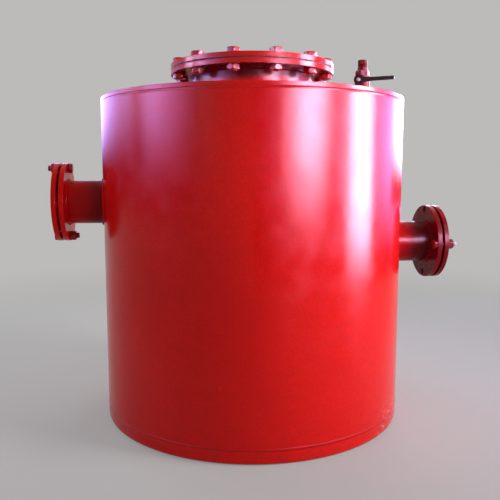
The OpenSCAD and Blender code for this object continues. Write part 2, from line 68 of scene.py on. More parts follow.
def solids(node):
    """The points of each separate solid of a CAD node, in a fixed order."""
    bm = bmesh.new()
    bm.from_mesh(nodes[node].data)
    bmesh.ops.remove_doubles(bm, verts=bm.verts, dist=1e-6)
    bm.verts.index_update()
    seen, groups = set(), []
    for first in bm.verts:
        if first.index in seen:
            continue
        seen.add(first.index)
        stack, group = [first], []
        while stack:
            vert = stack.pop()
            group.append(vert.co.copy())
            for edge in vert.link_edges:
                other = edge.other_vert(vert)
                if other.index not in seen:
                    seen.add(other.index)
                    stack.append(other)
        groups.append(group)
    bm.free()
    return groups


def away(point, centre, axis):
    """The part of a point's offset from an axis that lies across it."""
    offset = point - centre
    return offset - axis * offset.dot(axis)


def end_radius(node, centre, axis):
    """Outside radius of a node at its lowest end along an axis."""
    points = [v.co.copy() for v in nodes[node].data.vertices]
    low = min(p.dot(axis) for p in points)
    return max(away(p, centre, axis).length for p in points if p.dot(axis) < low + NEAR)


def middle(node):
    low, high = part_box(node)
    return (low + high) / 2


TANK_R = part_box("top_plate")[1].x
TANK_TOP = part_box("top_plate")[1].z
PLATE_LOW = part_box("top_plate")[0].z
RIM_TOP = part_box("bottom_head")[1].z
NECK_R = end_radius("relief_neck", Vector(), Z)
RELIEF_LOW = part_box("relief_flange")[0].z
MEMBRANE_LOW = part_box("burst_membrane")[0].z
OUTLET, INLET = middle("outlet_flange"), middle("inlet_flange")
OUTLET_BACK, INLET_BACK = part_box("outlet_flange")[1].x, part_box("inlet_flange")[0].x
NOZZLE_START = TANK_R - 100 * MM
FLANGE_R = (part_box("inlet_flange")[1].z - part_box("inlet_flange")[0].z) / 2
PIPE_R = end_radius("inlet_nozzle", INLET, X)
RISER = middle("valve_riser")
RISER_R = end_radius("valve_riser", RISER, Z)
DRAIN, LEVEL = middle("drain_socket"), middle("level_socket")
SOCKET_R = (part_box("drain_socket")[1].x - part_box("drain_socket")[0].x) / 2
GIRTH_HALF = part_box("tank_shell")[1].z - PLATE_LOW


# Materials

class Finish:
    """A procedural material under one of the record's slot names."""

    def __init__(self, slot):
        self.mat = bpy.data.materials.get(slot) or bpy.data.materials.new(slot)
        self.mat.use_nodes = True
        self.tree = self.mat.node_tree
        self.tree.nodes.clear()
        self.bsdf = self.node("ShaderNodeBsdfPrincipled")
        out = self.node("ShaderNodeOutputMaterial")
        self.tree.links.new(self.bsdf.outputs["BSDF"], out.inputs["Surface"])
        self.place = self.node("ShaderNodeTexCoord").outputs["Object"]
        self.axes = self.node("ShaderNodeSeparateXYZ")
        self.feed(self.axes.inputs[0], self.place)
        self.geometry = self.node("ShaderNodeNewGeometry")
        self.normal = None

    def node(self, kind, **settings):
        made = self.tree.nodes.new(kind)
        for name, value in settings.items():
            setattr(made, name, value)
        return made

    def feed(self, socket, value):
        if isinstance(value, bpy.types.NodeSocket):
            self.tree.links.new(value, socket)
        else:
            socket.default_value = value

    def calc(self, how, a, b=0.0, clamp=False):
        made = self.node("ShaderNodeMath", operation=how, use_clamp=clamp)
        self.feed(made.inputs[0], a)
        self.feed(made.inputs[1], b)
        return made.outputs[0]

    def times(self, *values):
        total = values[0]
        for value in values[1:]:
            total = self.calc("MULTIPLY", total, value)
        return total

    def ramp(self, value, low, high, to_low=0.0, to_high=1.0):
        made = self.node("ShaderNodeMapRange", interpolation_type="SMOOTHSTEP")
        for socket, given in zip(made.inputs, (value, low, high, to_low, to_high)):
            self.feed(socket, given)
        return made.outputs[0]

    def stretched(self, scale, turn=(0, 0, 0)):
        made = self.node("ShaderNodeMapping")
        self.feed(made.inputs["Vector"], self.place)
        made.inputs["Scale"].default_value = scale
        made.inputs["Rotation"].default_value = turn
        return made.outputs[0]

    def noise(self, scale, detail=2.0, rough=0.5, place=None):
        made = self.node("ShaderNodeTexNoise")
        self.feed(made.inputs["Vector"], place or self.place)
        made.inputs["Scale"].default_value = scale
        made.inputs["Detail"].default_value = detail
        made.inputs["Roughness"].default_value = rough
        return made.outputs["Fac"]

    def cells(self, scale, output="Distance"):
        made = self.node("ShaderNodeTexVoronoi")
        self.feed(made.inputs["Vector"], self.place)
        made.inputs["Scale"].default_value = scale
        return made.outputs[output]

    # A Mix node has its own sockets for each data type, so they are taken by number
    def mix(self, share, a, b):
        made = self.node("ShaderNodeMix", data_type="RGBA")
        self.feed(made.inputs[0], share)
        self.feed(made.inputs[6], a)
        self.feed(made.inputs[7], b)
        return made.outputs[2]

    def mix_float(self, share, a, b):
        made = self.node("ShaderNodeMix", data_type="FLOAT")
        self.feed(made.inputs[0], share)
        self.feed(made.inputs[2], a)
        self.feed(made.inputs[3], b)
        return made.outputs[0]

    def from_axis(self, centre, axis):
        """Distance of the shaded point from a line along one of the three directions."""
        parts = []
        for k in range(3):
            if abs(axis[k]) < 0.5:
                parts.append(self.calc("SUBTRACT", self.axes.outputs[k], centre[k]))
        squares = self.calc("ADD", self.times(parts[0], parts[0]), self.times(parts[1], parts[1]))
        return self.calc("SQRT", squares)

    def facing(self, axis):
        made = self.node("ShaderNodeVectorMath", operation="DOT_PRODUCT")
        self.feed(made.inputs[0], self.geometry.outputs["Normal"])
        made.inputs[1].default_value = axis
        return made.outputs["Value"]

    def edges(self, radius):
        """1 on sharp edges, broken up, and 0 on flat places. Shades edges as if rounded."""
        soft = self.node("ShaderNodeBevel", samples=6)
        soft.inputs["Radius"].default_value = radius
        self.normal = soft.outputs[0]
        match = self.node("ShaderNodeVectorMath", operation="DOT_PRODUCT")
        self.feed(match.inputs[0], soft.outputs[0])
        self.feed(match.inputs[1], self.geometry.outputs["Normal"])
        bent = self.ramp(match.outputs["Value"], 0.985, 0.86)
        patchy = self.ramp(self.noise(140.0, 4.0, 0.65), 0.45, 0.62)
        return self.times(bent, patchy)

    def bump(self, height, distance, strength=1.0):
        made = self.node("ShaderNodeBump")
        made.inputs["Strength"].default_value = strength
        made.inputs["Distance"].default_value = distance
        self.feed(made.inputs["Height"], height)
        if self.normal is not None:
            self.feed(made.inputs["Normal"], self.normal)
        self.normal = made.outputs[0]

    def done(self, colour, rough, **others):
        self.feed(self.bsdf.inputs["Base Color"], colour)
        self.feed(self.bsdf.inputs["Roughness"], rough)
        for name, value in others.items():
            self.feed(self.bsdf.inputs[name], value)
        if self.normal is not None:
            self.feed(self.bsdf.inputs["Normal"], self.normal)
        return self.mat


def rgb(r, g, b):
    return (r, g, b, 1.0)


RUST = rgb(0.10, 0.035, 0.018)
PRIMER = rgb(0.16, 0.045, 0.030)
BARE = rgb(0.42, 0.37, 0.36)
DUST = rgb(0.46, 0.30, 0.26)


def primed(f):
    """Colour of the insides: red-brown primer with rust stains."""
    stain = f.ramp(f.noise(26.0, 5.0, 0.62), 0.50, 0.68)
    fleck = f.ramp(f.noise(190.0, 3.0, 0.6), 0.56, 0.70)
    base = f.mix(f.calc("MAXIMUM", stain, fleck), PRIMER, RUST)
    return f.mix(f.times(stain, fleck), base, rgb(0.24, 0.09, 0.03))


def hairlines(f, scale, width, stretch, turn):
    """Fine scratches: thin contours of a stretched noise, kept to a few patches."""
    field = f.noise(scale, 1.0, 0.4, f.stretched(stretch, turn))
    line = f.ramp(f.calc("ABSOLUTE", f.calc("SUBTRACT", field, 0.5)), width, 0.0)
    around = f.stretched((1.0, 1.0, 1.4), (0.4, 0.0, 0.7))
    return f.times(line, f.ramp(f.noise(6.0, 2.0, 0.5, around), 0.58, 0.68))


def sprayed(f):
    """Orange peel and small nibs of sprayed enamel."""
    f.bump(f.noise(330.0, 2.0, 0.45), 0.00013, 0.60)
    nib = f.times(f.ramp(f.cells(150.0), 0.10, 0.03), f.ramp(f.cells(150.0, "Color"), 0.80, 0.86))
    f.bump(nib, 0.00018, 0.8)


GIRTH_RIPPLE = 4.2 * MM


def tank_enamel():
    f = Finish("tank_enamel")
    worn = f.edges(1.6 * MM)
    x, y, z = f.axes.outputs
    radius = f.from_axis(Vector(), Z)
    angle = f.calc("ARCTAN2", y, x)

    # Rolled plate isn't quite round or even, and the girth welds have ripples
    f.bump(f.noise(2.6, 1.0, 0.4, f.stretched((1.0, 1.0, 0.55))), 0.0035, 0.75)
    f.bump(f.noise(9.0, 1.0, 0.4, f.stretched((1.0, 1.0, 0.7))), 0.0008, 0.7)
    outside = f.ramp(radius, TANK_R - 2 * MM, TANK_R - 1 * MM)
    seam = None
    for level in (RIM_TOP, PLATE_LOW):
        off = f.calc("DIVIDE", f.calc("SUBTRACT", z, level), GIRTH_HALF)
        square = f.times(off, off)
        phase = f.calc("ADD", f.times(angle, TANK_R / GIRTH_RIPPLE), square)
        ripple = f.calc("FRACT", phase)
        on_weld = f.times(f.ramp(square, 1.15, 0.75), outside)
        seam = (on_weld, ripple) if seam is None else (
            f.calc("MAXIMUM", seam[0], on_weld), f.mix_float(on_weld, seam[1], ripple))
    f.bump(f.times(seam[0], seam[1]), 0.0004, 0.8)
    sprayed(f)

    broad = f.ramp(f.noise(3.2, 3.0, 0.55), 0.32, 0.70)
    fine = f.ramp(f.noise(48.0, 4.0, 0.6), 0.35, 0.70)
    colour = f.mix(broad, rgb(0.610, 0.0030, 0.0014), rgb(0.700, 0.0048, 0.0020))
    colour = f.mix(f.times(fine, 0.22), colour, rgb(0.500, 0.0024, 0.0014))
    colour = f.mix(f.times(seam[0], 0.15), colour, rgb(0.430, 0.0050, 0.0040))
    speckle = f.ramp(f.noise(260.0, 2.0, 0.6), 0.40, 0.62)
    colour = f.mix(f.times(speckle, 0.36), colour, rgb(0.430, 0.0020, 0.0012))

    # Thin dust on the flat top, and dirt and scratches low on the shell
    lying = f.times(f.ramp(f.facing(Z), 0.75, 0.98), f.ramp(f.noise(5.0, 8.0, 0.72), 0.30, 0.80))
    colour = f.mix(f.times(lying, 0.07), colour, DUST)
    splash = f.ramp(f.noise(30.0, 5.0, 0.65, f.stretched((1.0, 1.0, 2.4))), 0.48, 0.70)
    low = f.times(f.ramp(z, 110 * MM, 15 * MM), splash)
    colour = f.mix(f.times(low, 0.30), colour, rgb(0.300, 0.014, 0.008))
    kicked = hairlines(f, 7.0, 0.006, (1.0, 1.0, 7.0), (0.10, 0.06, 0.0))
    kicked = f.times(f.ramp(z, 160 * MM, 30 * MM), kicked)
    hair = hairlines(f, 5.0, 0.0028, (0.6, 0.6, 9.0), (0.5, 0.3, 0.2))
    scratch = f.calc("MAXIMUM", f.times(kicked, 0.65), f.times(hair, 0.22))
    colour = f.mix(scratch, colour, rgb(0.760, 0.130, 0.085))
    # The rim is scuffed where the tank was set down on it, and sharp edges are worn
    corner = f.times(
        f.ramp(z, 100 * MM, 30 * MM), f.ramp(angle, -0.88, -0.70), f.ramp(angle, -0.36, -0.52))
    scuff = f.ramp(f.noise(48.0, 5.0, 0.7, f.stretched((1.0, 1.0, 2.2))), 0.53, 0.62)
    colour = f.mix(f.times(corner, scuff, 0.50), colour, rgb(0.640, 0.230, 0.230))
    colour = f.mix(f.times(worn, 0.55), colour, rgb(0.260, 0.030, 0.022))

    inside = f.times(
        f.ramp(radius, TANK_R - 2 * MM, TANK_R - 4 * MM), f.ramp(z, 2 * MM, 4 * MM),
        f.ramp(z, PLATE_LOW + 4 * MM, PLATE_LOW + 2 * MM))
    colour = f.mix(inside, colour, primed(f))
    rough = f.ramp(f.noise(22.0, 4.0, 0.6), 0.30, 0.75, 0.17, 0.25)
    rough = f.calc("ADD", rough, f.times(f.calc("MAXIMUM", scratch, lying), 0.28), clamp=True)
    rough = f.calc("ADD", rough, f.times(inside, 0.55), clamp=True)
    return f.done(colour, rough, IOR=1.28)


def inlet_painted_shade(f):
    """Painted shade of the inlet side: 1 on its flanges and 0 within the shell, growing along the
    inlet pipe.
    """
    x = f.axes.outputs[0]
    along = f.ramp(x, TANK_R + 5 * MM, INLET_BACK - 25 * MM, 0.55, 1.0)
    return f.times(f.ramp(x, NOZZLE_START, TANK_R), along)


def flange_enamel():
    f = Finish("flange_enamel")
    worn = f.edges(1.3 * MM)
    f.bump(f.noise(60.0, 3.0, 0.55), 0.0004, 0.5)
    sprayed(f)
    broad = f.ramp(f.noise(9.0, 4.0, 0.6), 0.30, 0.72)
    x, _, z = f.axes.outputs

    # The relief mouth is a shade darker than the side flanges
    mouth = f.ramp(z, PLATE_LOW - 20 * MM, PLATE_LOW)
    colour = f.mix(
        mouth, f.mix(broad, rgb(0.640, 0.0050, 0.0035), rgb(0.760, 0.0075, 0.0050)),
        f.mix(broad, rgb(0.430, 0.0045, 0.0035), rgb(0.550, 0.0065, 0.0050)))
    # Painted shade: the pipes darken towards the shell, the inlet flanges darken (their rims a
    # little less), and so does the band just under the relief flange
    pipe_painted_shade = f.times(
        f.ramp(f.from_axis(OUTLET, X), PIPE_R + 9 * MM, PIPE_R + 3 * MM),
        f.ramp(x, -NOZZLE_START, -TANK_R), f.ramp(x, OUTLET_BACK, -TANK_R, 0.20, 0.86))
    rim = f.ramp(f.from_axis(INLET, X), FLANGE_R - 3 * MM, FLANGE_R - 1 * MM, 1.0, 0.87)
    under_flange_shade = f.times(
        f.ramp(z, RELIEF_LOW - 34 * MM, RELIEF_LOW - 12 * MM),
        f.ramp(z, RELIEF_LOW + 2 * MM, RELIEF_LOW), 0.85)
    painted_shade_share = f.calc("MAXIMUM", f.calc("MAXIMUM", pipe_painted_shade, under_flange_shade), f.times(inlet_painted_shade(f), rim))
    shaded_red = f.mix(broad, rgb(0.055, 0.0030, 0.0060), rgb(0.090, 0.0045, 0.0080))
    colour = f.mix(painted_shade_share, colour, shaded_red)

    # Grime, dust on level faces, chips, worn edges and scratches
    grime = f.ramp(f.noise(38.0, 5.0, 0.65), 0.50, 0.74)
    colour = f.mix(f.times(grime, 0.30), colour, rgb(0.105, 0.005, 0.006))
    lying = f.times(f.ramp(f.facing(Z), 0.70, 0.98), f.ramp(f.noise(30.0, 5.0, 0.62), 0.36, 0.70))
    colour = f.mix(f.times(lying, 0.18), colour, DUST)
    chip = f.times(
        f.ramp(f.noise(75.0, 3.0, 0.5), 0.64, 0.68), f.ramp(f.noise(11.0, 2.0, 0.5), 0.52, 0.62))
    colour = f.mix(f.times(chip, 0.50), colour, rgb(0.150, 0.030, 0.022))
    colour = f.mix(f.times(worn, 0.50), colour, rgb(0.350, 0.100, 0.090))
    hair = hairlines(f, 22.0, 0.004, (1.0, 1.0, 1.0), (0.3, 0.8, 0.2))
    colour = f.mix(f.times(hair, 0.30), colour, rgb(0.560, 0.110, 0.090))

    bores = []
    for nozzle, way in ((OUTLET, -MM), (INLET, MM)):
        bore = f.ramp(f.from_axis(nozzle, X), PIPE_R - 1 * MM, PIPE_R - 2 * MM)
        bores.append(f.times(bore, f.ramp(x, 0.0, way)))
    bore = f.ramp(f.from_axis(Vector(), Z), NECK_R - 3 * MM, NECK_R - 5 * MM)
    bores.append(f.times(bore, f.ramp(z, MEMBRANE_LOW + MM, MEMBRANE_LOW)))
    inside = f.calc("MAXIMUM", f.calc("MAXIMUM", bores[0], bores[1]), bores[2])
    colour = f.mix(inside, colour, primed(f))
    rough = f.calc("ADD", f.ramp(grime, 0.0, 1.0, 0.17, 0.30), f.times(painted_shade_share, 0.10))
    rough = f.calc("ADD", rough, f.times(f.calc("MAXIMUM", lying, chip), 0.25), clamp=True)
    rough = f.calc("ADD", rough, f.times(inside, 0.50), clamp=True)
    # The side pipes and flanges have weathered duller than the relief mouth
    return f.done(colour, rough, IOR=f.mix_float(mouth, 1.17, 1.27))


def fastener_enamel():
    f = Finish("fastener_enamel")
    worn = f.edges(0.8 * MM)
    f.bump(f.noise(220.0, 3.0, 0.55), 0.00025, 0.6)
    broad = f.ramp(f.noise(24.0, 4.0, 0.6), 0.30, 0.70)
    colour = f.mix(broad, rgb(0.290, 0.0060, 0.0065), rgb(0.430, 0.0110, 0.0110))
    # The inlet side's bolts and nuts get the same painted shade as its flanges
    colour = f.mix(f.times(inlet_painted_shade(f), 0.85), colour, rgb(0.120, 0.0045, 0.0075))
    gap = f.ramp(f.noise(95.0, 4.0, 0.65), 0.60, 0.68)
    colour = f.mix(f.times(gap, 0.50), colour, rgb(0.110, 0.020, 0.016))
    colour = f.mix(f.times(worn, 0.70), colour, BARE)
    rough = f.ramp(worn, 0.0, 1.0, 0.20, 0.34)
    return f.done(colour, rough, IOR=1.40)


def bolt_steel():
    f = Finish("bolt_steel")
    f.bump(f.noise(420.0, 3.0, 0.6), 0.00008, 0.7)
    tone = f.ramp(f.noise(130.0, 4.0, 0.6), 0.30, 0.72)
    colour = f.mix(tone, rgb(0.40, 0.37, 0.37), rgb(0.60, 0.57, 0.57))
    # Only the inlet bolts were put in after painting
    spots = f.ramp(f.noise(60.0, 4.0, 0.6), 0.62, 0.70)
    paint = f.calc("MAXIMUM", spots, f.ramp(f.axes.outputs[0], TANK_R + 50 * MM, TANK_R))
    colour = f.mix(f.times(paint, 0.95), colour, rgb(0.260, 0.009, 0.010))
    rough = f.ramp(tone, 0.0, 1.0, 0.46, 0.32)
    return f.done(colour, rough, Metallic=0.4)


def inner_primer():
    f = Finish("inner_primer")
    f.edges(1.0 * MM)
    f.bump(f.noise(160.0, 4.0, 0.6), 0.0003, 0.7)
    rough = f.ramp(f.noise(40.0, 3.0, 0.6), 0.30, 0.70, 0.62, 0.85)
    return f.done(primed(f), rough)


def valve_enamel():
    f = Finish("valve_enamel")
    worn = f.edges(0.7 * MM)
    f.bump(f.noise(75.0, 2.0, 0.5), 0.0010, 0.7)
    f.bump(f.noise(260.0, 3.0, 0.6), 0.0003, 0.7)
    broad = f.ramp(f.noise(30.0, 4.0, 0.6), 0.30, 0.70)
    colour = f.mix(broad, rgb(0.110, 0.0040, 0.0065), rgb(0.210, 0.0075, 0.0105))
    gap = f.ramp(f.noise(110.0, 4.0, 0.65), 0.58, 0.67)
    colour = f.mix(f.times(gap, 0.55), colour, rgb(0.120, 0.045, 0.030))
    colour = f.mix(f.times(worn, 0.75), colour, rgb(0.440, 0.300, 0.220))
    rough = f.ramp(gap, 0.0, 1.0, 0.22, 0.42)
    return f.done(colour, rough, IOR=1.18)


def black_rubber():
    f = Finish("black_rubber")
    f.edges(0.6 * MM)
    weave = []
    for direction in "XY":
        bands = f.node("ShaderNodeTexWave", wave_type="BANDS", bands_direction=direction)
        f.feed(bands.inputs["Vector"], f.place)
        bands.inputs["Scale"].default_value = 230.0
        weave.append(bands.outputs["Fac"])
    f.bump(f.calc("MAXIMUM", *weave), 0.00012, 0.6)
    f.bump(f.noise(14.0, 2.0, 0.5), 0.0016, 0.6)
    tone = f.ramp(f.noise(16.0, 5.0, 0.65), 0.30, 0.74)
    colour = f.mix(tone, rgb(0.012, 0.011, 0.011), rgb(0.030, 0.028, 0.028))
    bloom = f.times(f.ramp(f.facing(Z), 0.70, 0.98), f.ramp(f.noise(34.0, 5.0, 0.65), 0.42, 0.72))
    colour = f.mix(f.times(bloom, 0.35), colour, rgb(0.150, 0.125, 0.115))
    rough = f.ramp(tone, 0.0, 1.0, 0.52, 0.72)
    return f.done(colour, rough, IOR=1.25)


def lever_black():
    f = Finish("lever_black")
    worn = f.edges(0.8 * MM)
    f.bump(f.noise(300.0, 3.0, 0.6), 0.0002, 0.7)
    tone = f.ramp(f.noise(45.0, 4.0, 0.6), 0.32, 0.70)
    colour = f.mix(tone, rgb(0.016, 0.010, 0.012), rgb(0.040, 0.020, 0.022))
    rub = f.ramp(f.noise(85.0, 5.0, 0.65), 0.56, 0.70)
    colour = f.mix(f.times(rub, 0.45), colour, rgb(0.110, 0.040, 0.030))
    colour = f.mix(f.times(worn, 0.75), colour, rgb(0.300, 0.240, 0.230))
    rough = f.ramp(rub, 0.0, 1.0, 0.28, 0.48)
    return f.done(colour, rough, IOR=1.32)


def zinc_steel():
    f = Finish("zinc_steel")
    f.edges(0.5 * MM)
    f.bump(f.noise(380.0, 3.0, 0.6), 0.00008, 0.7)
    tone = f.ramp(f.noise(120.0, 4.0, 0.6), 0.30, 0.72)
    colour = f.mix(tone, rgb(0.60, 0.57, 0.55), rgb(0.78, 0.77, 0.76))
    stain = f.ramp(f.noise(70.0, 5.0, 0.65), 0.60, 0.72)
    colour = f.mix(f.times(stain, 0.50), colour, rgb(0.230, 0.110, 0.080))
    rough = f.ramp(tone, 0.0, 1.0, 0.40, 0.24)
    return f.done(colour, rough, Metallic=0.9)


def ball_chrome():
    f = Finish("ball_chrome")
    f.bump(f.noise(260.0, 2.0, 0.5), 0.00003, 0.5)
    tone = f.ramp(f.noise(90.0, 4.0, 0.6), 0.35, 0.70)
    colour = f.mix(tone, rgb(0.66, 0.67, 0.69), rgb(0.82, 0.83, 0.85))
    rough = f.ramp(tone, 0.0, 1.0, 0.14, 0.07)
    return f.done(colour, rough, Metallic=1.0)


def seat_white():
    f = Finish("seat_white")
    f.bump(f.noise(300.0, 2.0, 0.5), 0.00005, 0.5)
    tone = f.ramp(f.noise(80.0, 4.0, 0.6), 0.35, 0.70)
    colour = f.mix(tone, rgb(0.70, 0.69, 0.65), rgb(0.82, 0.82, 0.80))
    rough = f.ramp(tone, 0.0, 1.0, 0.45, 0.58)
    return f.done(colour, rough)


looks = {}
for build in (tank_enamel, flange_enamel, fastener_enamel, bolt_steel, inner_primer, valve_enamel,
              black_rubber, lever_black, zinc_steel, ball_chrome, seat_white):
    looks[build.__name__] = build()


# Pieces

def piece(name, bm, finishes, body="tank", sharp=35):
    """Turns a bmesh into a piece of the object that rides on a CAD body."""
    bmesh.ops.recalc_face_normals(bm, faces=bm.faces)
    for face in bm.faces:
        face.smooth = True
    for edge in bm.edges:
        edge.smooth = edge.calc_face_angle(0.0) < math.radians(sharp)
    mesh = bpy.data.meshes.new(name)
    bm.to_mesh(mesh)
    bm.free()
    for finish in finishes:
        mesh.materials.append(looks[finish])
    made = bpy.data.objects.new(name, mesh)
    bpy.context.scene.collection.objects.link(made)
    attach(made, body)
    return made


def turned(bm, rings, place, steps, closed=False):
    """Skin over rings: each is (height, radius or a function of the angle, material index)."""
    loops = []
    for height, radius, _ in rings:
        loop = []
        for k in range(steps):
            turn = 2 * math.pi * k / steps
            r = radius(turn) if callable(radius) else radius
            point = Vector((r * math.cos(turn), r * math.sin(turn), height))
            loop.append(bm.verts.new(place @ point))
        loops.append(loop)
    marks = [ring[2] for ring in rings]
    if closed:
        loops.append(loops[0])
    for low, high, mark in zip(loops, loops[1:], marks):
        for k in range(steps):
            j = (k + 1) % steps
            bm.faces.new((low[k], low[j], high[j], high[k])).material_index = mark
    if not closed:
        bm.faces.new(list(reversed(loops[0]))).material_index = marks[0]
        bm.faces.new(loops[-1]).material_index = marks[-1]


HALF_SIDE = math.pi / 6
CHAMFER = math.tan(HALF_SIDE)
TOP_SHARE = 0.95
BROKEN_CORNER = 0.99
HEX_STEPS = 48


def hexagon(corner, low, high, height):
    """Radius of a chamfered hexagon at one height, by the angle from a corner."""
    flat = corner * math.cos(HALF_SIDE)
    cap = TOP_SHARE * flat + min(height - low, high - height) / CHAMFER

    def radius(turn):
        off = turn % (2 * HALF_SIDE) - HALF_SIDE
        return min(flat / math.cos(off), cap, BROKEN_CORNER * corner)
    return radius


def hex_heights(corner, low, high):
    flat = corner * math.cos(HALF_SIDE)
    rise = (corner - TOP_SHARE * flat) * CHAMFER
    steps = [0, 0.25, 0.5, 0.75, 1]
    return [low + rise * s for s in steps] + [high - rise * s for s in reversed(steps)]


def thread(height, crest, depth, pitch, tip):
    """Radius of a screw thread at one height above its chamfered tip."""
    def radius(turn):
        wave = abs(2 * ((height / pitch - turn / (2 * math.pi)) % 1.0) - 1)
        return min(crest - depth * (1 - wave), tip + height)
    return radius


def seat_of(points, axis):
    """Frame at the foot of a bolt or nut, Z along its axis and X towards a corner of its hexagon.

    Also the hexagon's corner radius, and each point as (distance from the axis, height)."""
    low = Vector(min(p[k] for p in points) for k in range(3))
    high = Vector(max(p[k] for p in points) for k in range(3))
    centre = (low + high) / 2
    far = max(points, key=lambda p: round(away(p, centre, axis).length, 6))
    side = away(far, centre, axis)
    across = side.normalized()
    along = [(p - centre).dot(axis) for p in points]
    place = Matrix((across, axis.cross(across), axis)).transposed().to_4x4()
    place.translation = centre + axis * min(along)
    local = [(away(p, centre, axis).length, t - min(along)) for p, t in zip(points, along)]
    return place, side.length, local


PLAIN_SHARE = 0.995
THREAD_LENGTH = 1.5
THREAD_ROWS = 6


def bolts(name, node, axis, pitch):
    """Hex bolts with chamfered heads and cut threads, where the CAD bolts are and as they point."""
    bm = bmesh.new()
    for points in solids(node):
        # A wide foot is the head, so such a bolt points the other way
        place, corner, local = seat_of(points, axis)
        if max(r for r, t in local if t < NEAR) > 0.7 * corner:
            place, corner, local = seat_of(points, -axis)
        length = max(t for _, t in local)
        shank = max(r for r, t in local if t < NEAR)
        head = min(t for r, t in local if r > 1.15 * shank)
        cut = THREAD_LENGTH * shank
        crest, tip = shank - 0.02 * pitch, shank - 0.8 * pitch
        rings = [(0.0, shank - 0.9 * pitch, 1)]
        rows = math.ceil(THREAD_ROWS * cut / pitch)
        for k in range(rows + 1):
            t = cut * k / rows
            rings.append((t, thread(t, crest, 0.6 * pitch, pitch, tip), 1))
        rings.append((cut + 0.5 * pitch, PLAIN_SHARE * shank, 0))
        rings.append((head, PLAIN_SHARE * shank, 0))
        for t in hex_heights(corner, head, length):
            rings.append((t, hexagon(corner, head, length, t), 0))
        turned(bm, rings, place, HEX_STEPS)
    made = piece(name, bm, ("fastener_enamel", "bolt_steel"))
    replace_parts(made, node)


def nuts(name, node, axis):
    """Hex nuts with chamfers on both faces, where the CAD nuts are."""
    bm = bmesh.new()
    for points in solids(node):
        place, corner, local = seat_of(points, axis)
        high = max(t for _, t in local)
        bore = min(r for r, _ in local)
        lead = 0.04 * corner
        rings = [(lead, bore, 0), (0.0, bore + lead, 0)]
        for t in hex_heights(corner, 0.0, high):
            rings.append((t, hexagon(corner, 0.0, high, t), 0))
        rings += [(high, bore + lead, 0), (high - lead, bore, 0)]
        turned(bm, rings, place, HEX_STEPS, closed=True)
    made = piece(name, bm, ("fastener_enamel",))
    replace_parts(made, node)


RIPPLE = 4.0 * MM
RIPPLES = 2000


def bead(name, path, finish, half_width, half_height, pitch=RIPPLE, closed=True, seed=1):
    """Weld bead with crescent ripples, along a path of (point, outward, sideways)."""
    chance = random.Random(seed)
    bm = bmesh.new()
    sides, travelled, rows = 10, 0.0, []
    amount = [0.6 + 0.8 * chance.random() for _ in range(RIPPLES)]
    shift = [0.12 * (chance.random() - 0.5) for _ in range(RIPPLES)]
    for k, (point, out, side) in enumerate(path):
        if k:
            travelled += (point - path[k - 1][0]).length
        row = []
        for s in range(sides):
            turn = 2 * math.pi * s / sides
            u, v = math.cos(turn), math.sin(turn)
            phase = travelled / pitch + 0.45 * u * u
            step = int(phase) % RIPPLES
            rise = 1.0 + 0.16 * amount[step] * (1.0 - phase % 1.0)
            edge = 1.0 + shift[step]
            sideways = side * (u * half_width * edge)
            row.append(bm.verts.new(point + sideways + out * (v * half_height * rise)))
        rows.append(row)
    if closed:
        rows.append(rows[0])
    for low, high in zip(rows, rows[1:]):
        for s in range(sides):
            j = (s + 1) % sides
            bm.faces.new((low[s], low[j], high[j], high[s]))
    if not closed:
        bm.faces.new(rows[0])
        bm.faces.new(list(reversed(rows[-1])))
    return piece(name, bm, (finish,), sharp=60)


def ring_path(centre, axis, radius, lean, count, lift):
    """Points round a pipe where it meets a flat face; lean points from the face along the pipe."""
    u = axis.orthogonal().normalized()
    w = axis.cross(u)
    path = []
    for k in range(count):
        turn = 2 * math.pi * k / count
        radial = u * math.cos(turn) + w * math.sin(turn)
        out = (radial + lean).normalized()
        side = (radial - lean).normalized()
        path.append((centre + radial * radius + out * lift, out, side))
    return path


def saddle_path(centre, axis, radius, count, lift):
    """Points where a side pipe along a level axis meets the round shell."""
    level = axis.cross(Z)
    path = []
    for k in range(count):
        turn = 2 * math.pi * k / count
        radial = level * math.cos(turn) + Z * math.sin(turn)
        across = radius * math.cos(turn)
        depth = math.sqrt(TANK_R ** 2 - across ** 2)
        point = axis * depth + level * across + Z * (centre.z + radius * math.sin(turn))
        shell = (axis * depth + level * across).normalized()
        out = (radial + shell).normalized()
        tangent = Z * math.cos(turn) - level * math.sin(turn)
        side = out.cross(tangent).normalized()
        path.append((point + out * lift, out, side))
    return path


def seam_path(azimuth, low, high, count):
    """Upright line on the shell at one azimuth."""
    out = Vector((math.cos(azimuth), math.sin(azimuth), 0))
    side = Z.cross(out)
    heights = [low + (high - low) * k / count for k in range(count + 1)]
    return [(out * TANK_R + Z * height, out, side) for height in heights]


def steps_round(radius, rows=5):
    """How many points a bead round a pipe needs, at some rows to a ripple."""
    return int(2 * math.pi * radius / RIPPLE * rows)


FACE = 1.2 * MM
OUTLET_FOOT = Vector((OUTLET_BACK, 0, OUTLET.z))
INLET_FOOT = Vector((INLET_BACK, 0, INLET.z))
RISER_FOOT = Vector((RISER.x, RISER.y, TANK_TOP))
bead("neck_weld", ring_path(Z * TANK_TOP, Z, NECK_R, Z, steps_round(NECK_R), FACE),
     "flange_enamel", 5.6 * MM, 3.6 * MM, seed=3)
bead("relief_flange_weld", ring_path(Z * RELIEF_LOW, Z, NECK_R, -Z, steps_round(NECK_R), FACE),
     "flange_enamel", 5.6 * MM, 3.6 * MM, seed=4)
bead("outlet_flange_weld", ring_path(OUTLET_FOOT, X, PIPE_R, X, steps_round(PIPE_R), FACE),
     "flange_enamel", 5.4 * MM, 3.4 * MM, seed=5)
bead("inlet_flange_weld", ring_path(INLET_FOOT, X, PIPE_R, -X, steps_round(PIPE_R), FACE),
     "flange_enamel", 5.4 * MM, 3.4 * MM, seed=6)
bead("outlet_shell_weld", saddle_path(OUTLET, -X, PIPE_R, steps_round(PIPE_R), 1.6 * MM),
     "flange_enamel", 6.4 * MM, 4.0 * MM, seed=7)
